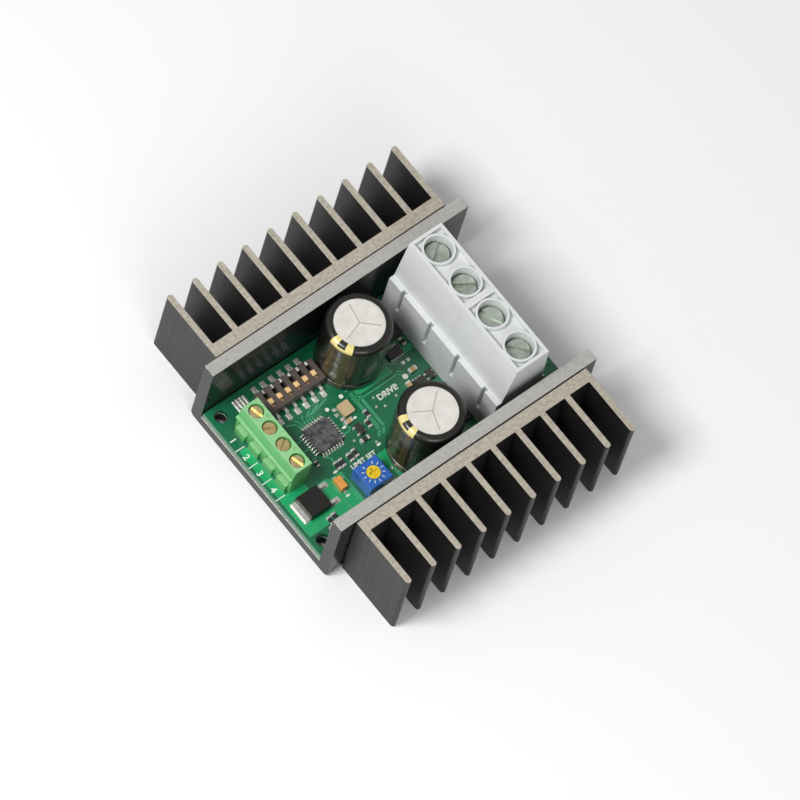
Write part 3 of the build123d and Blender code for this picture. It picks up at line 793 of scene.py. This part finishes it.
@dataclass
class Copper:
    """Pours, tracks, vias and pads on top of the board.

    Attributes:
        pour_levels: bottom and top of the mask over wide copper, in mm above the board.
        track_levels: the same over tracks and over the rims of the pours.
        pad_levels: the same for soldered pads.
        rim_width: width of the bright line round a pour, in mm.
        pad_bevel: edge radius of a pad, in mm.
        areas: pours as lowest x, highest x, lowest y and highest y, in mm.
        bundle_xs: x of the tracks that run across the board.
        bundle_ys: y of the tracks that run along the board.
        terminal_ys: y of the tracks from the control terminal's pins.
        stubs: corners of the single short tracks.
        chip_pads: middles of the small square pads.
        vias: middles of the plated holes.
    """

    pour_levels: tuple[float, float] = (0.0, 0.03)
    track_levels: tuple[float, float] = (0.0, 0.045)
    pad_levels: tuple[float, float] = (0.0, 0.08)
    rim_width: float = 0.12
    pad_bevel: float = 0.03
    areas: tuple[tuple[float, float, float, float], ...] = (
        (1.2, 3.2, -5.0, 9.6),
        (1.2, 8.4, -7.2, -5.2),
        (1.2, 13.6, -16.8, -7.4),
        (13.8, 17.4, -17.0, -8.0),
        (25.2, 31.2, -20.4, -9.4),
        (33.4, 43.2, 4.8, 6.8),
        (44.9, 51.2, -20.6, -16.4),
        (48.6, 51.2, 7.2, 8.4),
        (67.0, 75.0, -14.0, 14.0),
    )
    bundle_xs: tuple[float, ...] = (31.4, 31.9, 32.8, 33.2)
    bundle_ys: tuple[float, ...] = (3.9, 4.9, 7.4)
    terminal_ys: tuple[tuple[float, float], ...] = ((10.2, 2.2), (10.6, -0.4), (11.0, -3.0))
    stubs: tuple[tuple[tuple[float, float], ...], ...] = (
        ((5.0, -19.9), (10.0, -19.9), (12.0, -17.6), (17.0, -17.6)),
        ((24.0, -1.0), (26.0, -1.0), (26.0, 0.0)),
        ((17.6, -5.2), (17.6, -3.6), (16.9, -3.2)),
        ((22.6, -7.6), (22.6, -9.6), (21.6, -10.0)),
    )
    chip_pads: tuple[tuple[float, float], ...] = (
        (46.8, 5.4), (48.3, 5.4), (25.9, 5.2), (25.6, 3.8), (26.0, 2.2), (15.1, -8.6),
        (15.1, -12.4),
    )
    vias: tuple[tuple[float, float], ...] = (
        (10.6, 5.2), (11.8, 3.9), (12.4, 0.2), (13.0, -1.6), (24.9, -3.6), (29.0, -6.8),
        (34.6, 0.2), (36.4, -0.8), (38.0, 1.4), (40.2, -0.2), (41.8, 1.9), (35.4, 2.4), (12.8, 7.8),
        (26.6, -12.0), (27.8, -14.0), (45.8, 13.0), (16.2, -18.0), (13.4, -19.6), (33.0, -8.8),
        (45.6, -6.2),
    )

    def pours(self) -> None:
        """Wide copper areas and their rims."""
        piece = Piece("copper_pours", MASK_ON_COPPER)
        for x0, x1, y0, y1 in self.areas:
            piece.cuboid(((x0 + x1) / 2, (y0 + y1) / 2), (x1 - x0, y1 - y0), self.pour_levels)
        piece.finish_piece()
        rims = Piece("copper_pour_rims", MASK_ON_TRACK)
        for x0, x1, y0, y1 in self.areas:
            corners = [(x0, y0), (x1, y0), (x1, y1), (x0, y1), (x0, y0)]
            rims.path(corners, self.rim_width, self.track_levels)
        rims.finish_piece()

    def tracks(self) -> None:
        """Narrow tracks between the packages."""
        fine, medium, wide = 0.26, 0.28, 0.3
        micro_x, micro_pitch = 16.6, 0.8
        piece = Piece("copper_tracks", MASK_ON_TRACK)
        for way in range(SWITCH_WAYS):
            x, lead = switch_x(way), micro_x + micro_pitch * way
            corners = [(x, 9.2), (x, 8.6), (lead, 7.2), (lead, 6.2)]
            piece.path(corners, medium, self.track_levels)
        for x in self.bundle_xs:
            piece.path([(x, 6.4), (x, -4.6), (x - 1.2, -6.0)], fine, self.track_levels)
        for y in self.bundle_ys:
            piece.path([(31.0, y), (43.8, y), (45.4, y - 1.4)], fine, self.track_levels)
        for x, y in self.terminal_ys:
            corners = [(9.6, y), (x + 1.0, y), (x + 2.6, y + 1.2), (14.6, y + 1.2)]
            piece.path(corners, wide, self.track_levels)
        for corners in self.stubs:
            piece.path(list(corners), wide, self.track_levels)
        piece.finish_piece()

    def pads(self) -> None:
        """Soldered pads under leads and chips, and vias."""
        switch_reach, via_radius, via_sides = 5.0, 0.32, 20
        squares = []
        for way in range(SWITCH_WAYS):
            for side in (-1, 1):
                middle = (switch_x(way), SWITCH_CENTRE[1] + side * switch_reach)
                squares.append((middle, (1.3, 1.6)))
        squares += [((11.4, -8.4), (2.9, 1.5)), ((11.4, -13.1), (2.9, 1.5))]
        squares.append(((2.9, -10.75), (1.6, 6.0)))
        squares += [(middle, (0.9, 0.9)) for middle in self.chip_pads]
        piece = Piece("soldered_pads", PAD)
        for middle, size in squares:
            piece.cuboid(middle, size, self.pad_levels, 0, self.pad_bevel)
        for middle in self.vias:
            piece.disc(middle, via_radius, self.pad_levels, sides=via_sides)
        piece.finish_piece()

    def build(self) -> None:
        """Builds all the copper."""
        self.pours()
        self.tracks()
        self.pads()


@dataclass
class Legend:
    """White printed legend with generic marks.

    Attributes:
        levels: bottom and top of lines and dots, in mm above the board.
        poles: mark and y of each pole of the control terminal.
        divider_ys: y of the lines between the poles.
        words: text, middle and size of each printed word.
        dots: middle and radius of the round dots.
        ovals: middles of the oval dots.
        frame_corners: corners of the line round the lamps.
        trimmer: middle of the trimmer's rotor.
    """

    levels: tuple[float, float] = (0.045, 0.07)
    poles: tuple[tuple[str, float], ...] = (("1", 12.6), ("2", 7.5), ("3", 2.45), ("4", -2.65))
    divider_ys: tuple[float, ...] = (10.0, 4.95, -0.1, -5.15)
    words: tuple[tuple[str, tuple[float, float], float], ...] = (
        ("ERR", (11.0, -18.9), 1.7),
        ("RUN", (20.2, -18.9), 1.7),
        ("LIMIT SET", (23.6, -8.7), 1.7),
        ("DRIVE", (39.0, 1.6), 2.1),
    )
    dots: tuple[tuple[tuple[float, float], float], ...] = (
        ((24.6, 6.2), 0.5), ((29.4, 7.0), 0.55), ((45.0, 2.4), 0.7), ((27.8, -19.2), 0.4),
    )
    ovals: tuple[tuple[float, float], ...] = (
        (25.1, 0.4), (28.6, 0.9), (16.3, -7.3), (29.0, -7.6), (16.5, -9.4), (15.0, -13.6),
    )
    frame_corners: tuple[tuple[float, float], ...] = (
        (6.2, -20.6), (6.2, -17.5), (27.0, -17.5), (27.0, -19.0),
    )
    trimmer: tuple[float, float] = (21.6, -13.8)

    def build(self) -> None:
        """Prints the outlines, dots and characters."""
        print_level, switch_level = 0.05, 3.6
        piece = Piece("board_legend", LEGEND)
        for mark, y in self.poles:
            piece.text(mark, (1.55, y), 2.3, -90, print_level)
        for y in self.divider_ys:
            piece.cuboid((1.6, y), (2.7, 0.22), self.levels)
        for way in range(SWITCH_WAYS):
            piece.text(str(way + 1), (switch_x(way), 17.28), 1.25, 0, switch_level)
        for middle, radius in self.dots:
            piece.disc(middle, radius, self.levels)
        for middle in self.ovals:
            piece.disc(middle, 0.4, self.levels, (1.5, 0.8))
        piece.path(list(self.frame_corners), 0.18, self.levels)
        for words, middle, size in self.words:
            piece.text(words, middle, size, 0, print_level)
        piece.finish_piece()
        self.trimmer_scale()

    def trimmer_scale(self) -> None:
        """Rays printed round the trimmer's rotor."""
        rays, first, step, reach = 11, -240, 30, 2.45
        piece = Piece("trimmer_scale", LEGEND)
        for ray in range(rays):
            angle = math.radians(first + step * ray)
            x = self.trimmer[0] + reach * math.cos(angle)
            y = self.trimmer[1] + reach * math.sin(angle)
            piece.cuboid((x, y), (0.75, 0.2), (5.0, 5.03), math.degrees(angle))
        piece.finish_piece()


@dataclass
class ChipEnds:
    """Tinned end caps of the chip parts.

    Attributes:
        growth: how much wider and taller than its chip a cap is, in mm.
        cover: share of the chip's length that one cap covers.
        bevel: edge radius of a cap, in mm.
        chips: middle x and y, size along x and y, and height of each chip, in mm.
    """

    growth: float = 0.04
    cover: float = 0.24
    bevel: float = 0.04
    chips: tuple[tuple[float, float, float, float, float], ...] = (
        (17.6, -6.4, 1.0, 2.2, 0.6),
        (19.0, -6.4, 1.0, 2.2, 0.6),
        (21.4, -6.4, 1.0, 2.2, 0.6),
        (23.0, -6.2, 1.0, 2.2, 0.6),
        (7.6, -16.4, 1.0, 2.2, 0.6),
        (9.1, -16.2, 1.0, 2.2, 0.6),
        (27.1, -4.8, 2.4, 1.1, 0.6),
        (30.3, -2.1, 1.0, 2.1, 0.6),
        (31.5, 0.0, 0.9, 2.1, 0.6),
        (13.9, -3.3, 0.9, 1.5, 0.6),
        (49.9, 9.7, 1.0, 2.0, 0.6),
        (26.8, 0.9, 2.1, 1.1, 0.9),
        (47.3, 2.7, 2.2, 1.2, 0.9),
        (44.3, -0.3, 1.1, 2.4, 0.9),
        (15.8, -18.4, 2.6, 1.2, 0.5),
        (24.8, -18.4, 2.6, 1.2, 0.5),
    )

    def build(self) -> None:
        """Builds a cap at both ends of every chip, a little proud of it."""
        piece = Piece("chip_end_caps", TIN)
        for x, y, length, width, height in self.chips:
            long_x = length > width
            reach = (length if long_x else width) * (1 - self.cover) / 2 + self.growth / 2
            cover_x, cover_y = (self.cover, 1) if long_x else (1, self.cover)
            size = (length * cover_x + self.growth, width * cover_y + self.growth)
            for side in (-1, 1):
                centre = (x + side * reach, y) if long_x else (x, y + side * reach)
                piece.cuboid(centre, size, (0, height + self.growth), 0, self.bevel)
        piece.finish_piece()


@dataclass
class CanDetails:
    """Pressed vent scores on the two capacitor tops, drawn as darker strips a little proud of the
    tops: painted shade of the grooves.

    Attributes:
        centre_x: x of both cans, in mm on the board.
        top: height of their tops, in mm above the board.
        length: length of one score line, which starts at the middle of the can.
        width: width of a score line.
        legs: y of each can and the directions of its score lines, in degrees.
    """

    centre_x: float = 36.6
    top: float = 19.9
    length: float = 5.2
    width: float = 0.24
    legs: tuple[tuple[float, tuple[float, ...]], ...] = (
        (13.6, (78.0, -162.0, -42.0)),
        (-13.6, (-110.0, 150.0, 40.0)),
    )

    def build(self) -> None:
        """Builds three score lines on each can."""
        levels = (self.top - 0.05, self.top + 0.02)
        reach = self.length / 2
        piece = Piece("vent_scores", GROOVE_SHADE)
        for y, angles in self.legs:
            for angle in angles:
                turn = math.radians(angle)
                centre = (self.centre_x + reach * math.cos(turn), y + reach * math.sin(turn))
                piece.cuboid(centre, (self.length, self.width), levels, angle)
        piece.finish_piece()


@dataclass
class Studio:
    """Camera, floor and light.

    Attributes:
        position: place of the camera, in metres.
        right: direction of the picture's right side.
        up: direction of the picture's top.
        back: direction from the part to the camera.
        lens: focal length in mm.
        sensor_width: width of the picture on the sensor, in mm.
        far_clip: distance in metres past which nothing is seen.
        aim: point in metres that the lights face.
        lamps: name, place, side in metres and watts of each light.
        floor_size: side of the floor in metres.
        sky: strength of the even white light from all round.
    """

    position: tuple[float, float, float] = (-1.022085, -0.693715, 2.497204)
    right: tuple[float, float, float] = (0.771466, -0.619527, 0.145005)
    up: tuple[float, float, float] = (0.518928, 0.744506, 0.42003)
    back: tuple[float, float, float] = (-0.368177, -0.248792, 0.895851)
    lens: float = 540.0
    sensor_width: float = 36.0
    far_clip: float = 20.0
    aim: tuple[float, float, float] = (0.0, 0.0, 0.01)
    lamps: tuple[tuple[str, tuple[float, float, float], float, float], ...] = (
        ("key_light", (-0.5, 0.12, 0.74), 0.3, 5.8),
        ("fill_light", (-0.3, -0.6, 0.5), 0.4, 1.5),
    )
    floor_size: float = 6.0
    sky: float = 0.38

    def camera(self) -> None:
        """Makes the camera at the recorded pose."""
        bpy.ops.object.camera_add()
        item = bpy.context.object
        axes = Matrix((self.right, self.up, self.back)).transposed()
        item.matrix_world = Matrix.Translation(Vector(self.position)) @ axes.to_4x4()
        item.data.sensor_width = self.sensor_width
        item.data.lens = self.lens
        item.data.clip_end = self.far_clip
        bpy.context.scene.camera = item

    def lamp(
        self, name: str, position: tuple[float, float, float], size: float, power: float
    ) -> None:
        """Makes a square soft light aimed at the part.

        Args:
            name: object name.
            position: place in metres.
            size: side of the light in metres.
            power: watts.
        """
        bpy.ops.object.light_add(type="AREA", location=position)
        item = bpy.context.object
        item.name = name
        item.data.size = size
        item.data.energy = power
        beam = Vector(self.aim) - Vector(position)
        item.rotation_euler = beam.to_track_quat("-Z", "Y").to_euler()

    def floor(self) -> None:
        """Makes the white floor that the part stands on."""
        bpy.ops.mesh.primitive_plane_add(size=self.floor_size, location=(0, 0, 0))
        floor = bpy.context.object
        floor.name = "studio_floor"
        floor.data.materials.append(WHITE_FLOOR.build())

    def surroundings(self) -> None:
        """Makes the even light from all round and sets how the picture is toned."""
        world = bpy.data.worlds.new("studio")
        world.use_nodes = True
        background = world.node_tree.nodes["Background"]
        background.inputs["Color"].default_value = (1, 1, 1, 1)
        background.inputs["Strength"].default_value = self.sky
        bpy.context.scene.world = world
        bpy.context.scene.view_settings.view_transform = "Standard"

    def build(self) -> None:
        """Builds the floor, the lights, the surroundings and the camera."""
        self.floor()
        for lamp in self.lamps:
            self.lamp(*lamp)
        self.surroundings()
        self.camera()


def main() -> None:
    """Builds the whole picture of the part."""
    logging.basicConfig(level=logging.INFO)
    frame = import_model()
    Dressing(frame).dress()
    for item in (Copper(), Legend(), ChipEnds(), CanDetails()):
        item.build()
        LOG.info("built %s", type(item).__name__)
    Studio().build()


if __name__ == "__main__":
    main()
